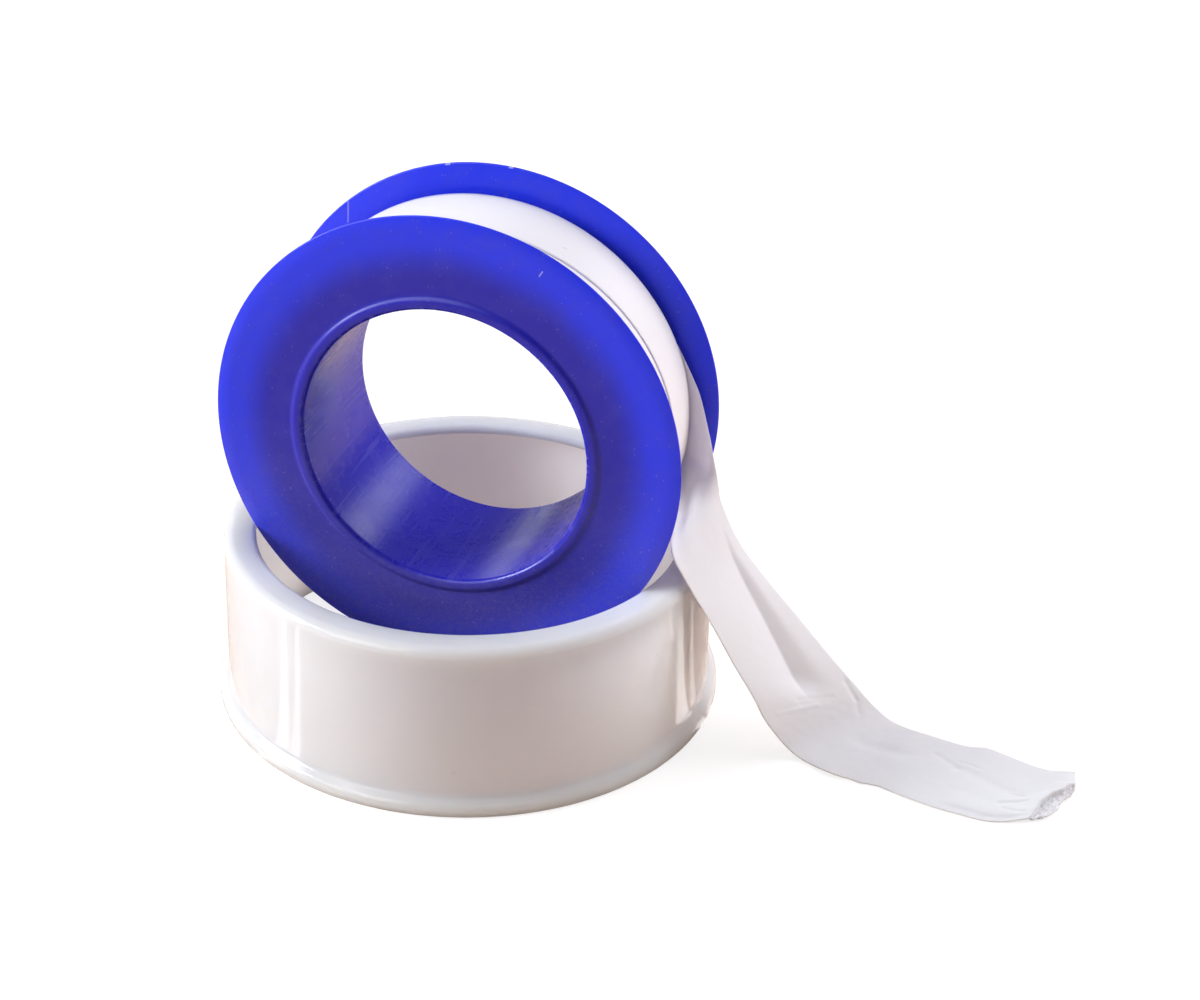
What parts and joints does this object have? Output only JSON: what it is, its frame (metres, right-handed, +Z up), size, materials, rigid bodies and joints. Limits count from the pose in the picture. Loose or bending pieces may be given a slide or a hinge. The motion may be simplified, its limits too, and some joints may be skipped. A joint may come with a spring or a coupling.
{
  "type": "thread seal tape roll",
  "caption": "Roll of white thread seal tape on a blue flanged spool, standing on edge in its white cover ring with the tape's free end pulled out on the table.",
  "frame": {"origin": "centre of the cover ring's base, on the surface that it stands on", "axes": "+Z up; the spool's axis lies along Y with its front flange facing -Y; the tape's free end runs out towards +X"},
  "size_m": [0.0926, 0.0542, 0.056],
  "materials": {
    "blue_plastic": "satin moulded blue",
    "tape": "soft white film",
    "white_plastic": "glossy moulded white"
  },
  "bodies": {
    "cover": {"cover_ring": "white_plastic"},
    "tape_end": {"tape_tail": "tape"},
    "roll": {"spool": "blue_plastic", "tape_core": "tape", "tape_outer_wrap": "tape"}
  },
  "joints": [
    {"name": "spool_lift", "type": "slide", "parent": "cover", "child": "tape_end", "axis": [0, 0, 1], "range_m": [0, 0.04]},
    {"name": "spool_spin", "type": "hinge", "parent": "tape_end", "child": "roll", "pos_m": [0, 0, 0.03144], "axis": [0, 1, 0], "continuous": true}
  ]
}
